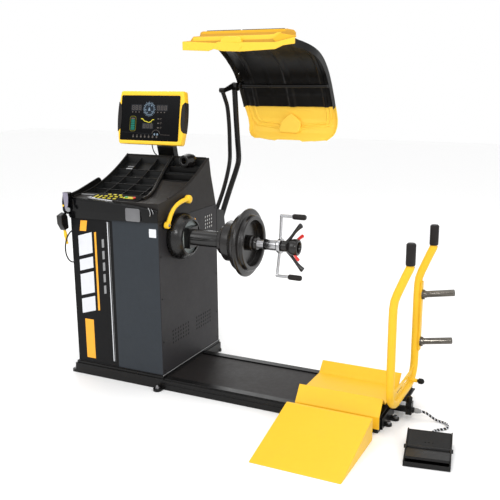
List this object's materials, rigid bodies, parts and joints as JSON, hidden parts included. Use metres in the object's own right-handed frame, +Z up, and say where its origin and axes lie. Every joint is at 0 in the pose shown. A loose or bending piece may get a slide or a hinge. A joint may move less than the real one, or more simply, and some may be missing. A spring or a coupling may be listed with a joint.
{
  "type": "truck wheel balancer",
  "caption": "Heavy-duty wheel balancer: cabinet with weight tray and display, horizontal spindle with clamping nut, swing-over guard, sliding lift cradle, ramp and foot pedal.",
  "frame": {"origin": "on the floor at the middle of the machine's footprint", "axes": "+X along the spindle away from the cabinet, +Y from the operator's side to the back, +Z up"},
  "size_m": [2.1128, 1.584, 1.812],
  "materials": {
    "cabinet_paint": "satin textured powder coat",
    "black_paint": "satin black powder coat",
    "yellow_paint": "gloss powder coat",
    "yellow_plastic": "moulded plastic",
    "black_plastic": "moulded textured plastic",
    "gloss_black": "gloss",
    "screen_glass": "gloss black panel",
    "steel": "ground steel",
    "chrome": "polished",
    "dark_steel": "blackened machined steel",
    "rubber": "matte",
    "red_plastic": "gloss",
    "green_plastic": "gloss",
    "grey_plastic": "matte",
    "motor_paint": "hammered enamel"
  },
  "bodies": {
    "base": {"base_plinth": "black_paint", "rails": "black_paint", "deck_plate": "black_paint", "anchor_bolts": "steel", "end_bracket": "black_paint", "air_valve": "black_plastic", "air_hose": "rubber", "pedal_base": "black_paint", "ramp": "yellow_paint", "cabinet_front": "cabinet_paint", "cabinet_right": "cabinet_paint", "cabinet_left": "cabinet_paint", "cabinet_rear": "cabinet_paint", "inner_frame": "black_paint", "top_cover": "black_plastic", "weight_tray": "black_plastic", "front_lip": "gloss_black", "keypad_panel": "gloss_black", "display_post": "black_paint", "display_housing": "yellow_plastic", "display_glass": "screen_glass", "display_lead": "rubber", "shroud": "black_plastic", "shroud_plate": "grey_plastic", "spindle_housing": "black_paint", "bearings": "steel", "side_lead": "rubber", "drive_belt": "rubber", "motor": "motor_paint", "arm_mount": "black_paint", "rim_caliper": "black_plastic", "weight_hammer": "dark_steel"},
    "spindle": {"main_shaft": "steel", "adapter_disc": "dark_steel", "centring_cone": "dark_steel"},
    "motor_rotor": {"motor_pulley": "steel"},
    "nut": {"quick_nut": "black_plastic"},
    "crank": {"crank_nut": "chrome", "crank_grips": "rubber"},
    "lever_up": {"lever_upper": "red_plastic"},
    "lever_low": {"lever_lower": "red_plastic"},
    "gauge_slide": {"gauge_rod": "chrome"},
    "gauge_swing": {"gauge_arm": "yellow_plastic"},
    "guard": {"guard_shell": "black_plastic", "guard_cap_top": "yellow_plastic", "guard_cap_low": "yellow_plastic", "guard_rod": "black_paint", "guard_arm": "black_paint"},
    "link": {"guard_link": "black_paint"},
    "carriage": {"carriage_frame": "black_paint", "lift_bags": "rubber", "handle_tube": "yellow_paint", "handle_grips": "rubber", "cone_pegs": "chrome"},
    "lift": {"cradle": "yellow_paint"},
    "latch": {"latch_knob": "black_plastic"},
    "pedal": {"pedal_rocker": "black_paint"},
    "start_key": {"key_start": "green_plastic"},
    "stop_key": {"key_stop": "red_plastic"},
    "switch_knob": {"power_switch": "black_plastic"}
  },
  "joints": [
    {"name": "spindle_spin", "type": "hinge", "parent": "base", "child": "spindle", "pos_m": [-0.16236, -0.109, 0.778], "axis": [1, 0, 0], "continuous": true},
    {"name": "motor_spin", "type": "hinge", "parent": "base", "child": "motor_rotor", "pos_m": [-0.70736, 0.036, 0.52], "axis": [1, 0, 0], "continuous": true},
    {"name": "nut_slide", "type": "slide", "parent": "spindle", "child": "nut", "axis": [1, 0, 0], "range_m": [-0.035, 0.14]},
    {"name": "crank_turn", "type": "hinge", "parent": "nut", "child": "crank", "pos_m": [0.11264, -0.109, 0.778], "axis": [1, 0, 0], "continuous": true},
    {"name": "upper_lever", "type": "hinge", "parent": "nut", "child": "lever_up", "pos_m": [0.19264, -0.0921, 0.80979], "axis": [0, 0.8829, -0.4695], "range_deg": [-14, 0], "stiffness_Nm_per_rad": 0.2, "springref_deg": 2.86},
    {"name": "lower_lever", "type": "hinge", "parent": "nut", "child": "lever_low", "pos_m": [0.19264, -0.1259, 0.74621], "axis": [0, 0.8829, -0.4695], "range_deg": [0, 14], "stiffness_Nm_per_rad": 0.2, "springref_deg": -2.86},
    {"name": "gauge_pull", "type": "slide", "parent": "base", "child": "gauge_slide", "axis": [1, 0, 0], "range_m": [0, 0.28]},
    {"name": "gauge_swing", "type": "hinge", "parent": "gauge_slide", "child": "gauge_swing", "pos_m": [-0.44236, -0.242, 0.858], "axis": [1, 0, 0], "range_deg": [0, 100]},
    {"name": "guard_swing", "type": "hinge", "parent": "base", "child": "guard", "pos_m": [-0.48736, 0.374, 0.712], "axis": [1, 0, 0], "range_deg": [0, 44]},
    {"name": "link_swing", "type": "hinge", "parent": "guard", "child": "link", "pos_m": [-0.52066, 0.503, 1.4982], "axis": [1, 0, 0], "range_deg": [0, 6]},
    {"name": "carriage_slide", "type": "slide", "parent": "base", "child": "carriage", "axis": [-1, 0, 0], "range_m": [0, 0.42]},
    {"name": "cradle_lift", "type": "slide", "parent": "carriage", "child": "lift", "axis": [0, 0, 1], "range_m": [0, 0.15]},
    {"name": "latch_pull", "type": "slide", "parent": "carriage", "child": "latch", "axis": [1, 0, 0], "range_m": [0, 0.01], "stiffness_N_per_m": 600},
    {"name": "pedal_rock", "type": "hinge", "parent": "base", "child": "pedal", "pos_m": [0.93964, -0.406, 0.03], "axis": [0.9848, 0.1736, 0], "range_deg": [-7, 7], "stiffness_Nm_per_rad": 12},
    {"name": "start_press", "type": "slide", "parent": "base", "child": "start_key", "axis": [0, 0.1045, -0.9945], "range_m": [0, 0.0025], "stiffness_N_per_m": 300},
    {"name": "stop_press", "type": "slide", "parent": "base", "child": "stop_key", "axis": [0, 0.1045, -0.9945], "range_m": [0, 0.0025], "stiffness_N_per_m": 300},
    {"name": "power_turn", "type": "hinge", "parent": "base", "child": "switch_knob", "pos_m": [-1.01736, -0.234, 0.42], "axis": [-1, 0, 0], "range_deg": [0, 90]}
  ],
  "couplings": [
    {"joint": "motor_spin", "follows": "spindle_spin", "ratio": 2.5},
    {"joint": "lower_lever", "follows": "upper_lever", "ratio": -1},
    {"joint": "link_swing", "follows": "guard_swing", "ratio": 0.08}
  ]
}
